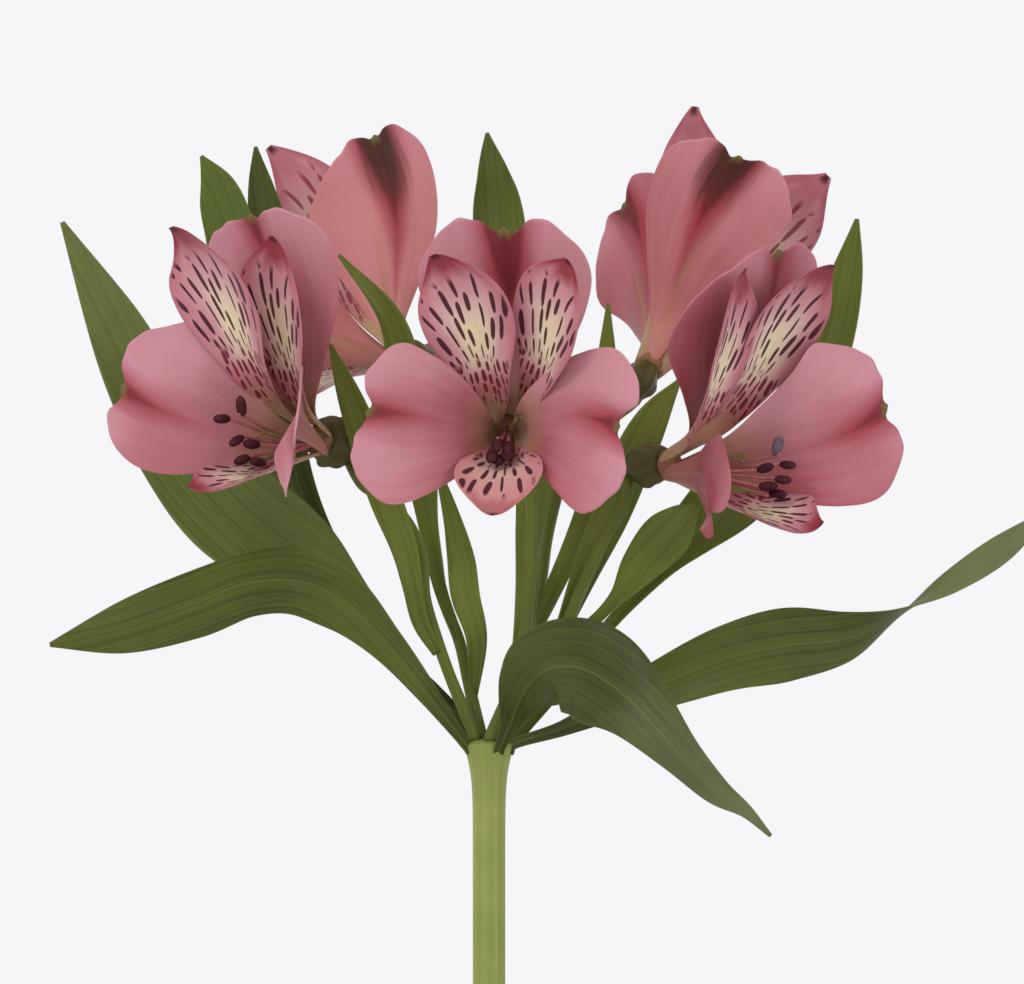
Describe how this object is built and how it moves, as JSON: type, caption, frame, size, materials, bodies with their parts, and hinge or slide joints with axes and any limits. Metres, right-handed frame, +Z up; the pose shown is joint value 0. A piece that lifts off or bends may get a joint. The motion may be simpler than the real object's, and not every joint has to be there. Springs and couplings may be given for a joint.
{
  "type": "potted peruvian lily",
  "caption": "Peruvian lily in a plain clay pot: an upright leafy stem whose top carries a loose head of pink funnel-shaped blooms, to stand on a floor, shelf or bench.",
  "frame": {"origin": "middle of the pot's foot, on the plane it stands on", "axes": "+Z up along the stem, the flower head faces -Y, and +X is to the right of someone who looks at it"},
  "size_m": [0.2093, 0.1292, 0.3775],
  "materials": {
    "leaf": "semi-matte green leaf with fine lengthwise veins",
    "stem": "semi-matte pale olive-green stem",
    "stalk": "semi-matte green flower stalk and ovary",
    "tepal": "matte dusky pink petal, maroon at the throat, striped inner petals",
    "stamen": "matte dark maroon anthers",
    "terracotta": "matte fired clay",
    "soil": "rough dark potting soil"
  },
  "bodies": {
    "root": {"stalk_left": "stalk", "stalk_left_back": "stalk", "stalk_centre": "stalk", "stalk_right": "stalk", "stalk_right_back": "stalk", "bloom_left": "tepal", "bloom_left_back": "tepal", "bloom_centre": "tepal", "bloom_right": "tepal", "bloom_right_back": "tepal", "stamens_left": "stamen", "stamens_left_back": "stamen", "stamens_centre": "stamen", "stamens_right": "stamen", "stamens_right_back": "stamen", "leaf_left_high": "leaf", "leaf_left_low": "leaf", "leaf_front": "leaf", "leaf_right_low": "leaf", "leaf_right_high": "leaf", "leaf_back_centre": "leaf", "leaf_back_left_outer": "leaf", "leaf_back_left_inner": "leaf", "stem_leaf_1": "leaf", "stem_leaf_2": "leaf", "stem_leaf_3": "leaf", "stem": "stem", "pot": "terracotta", "soil": "soil"}
  },
  "joints": []
}
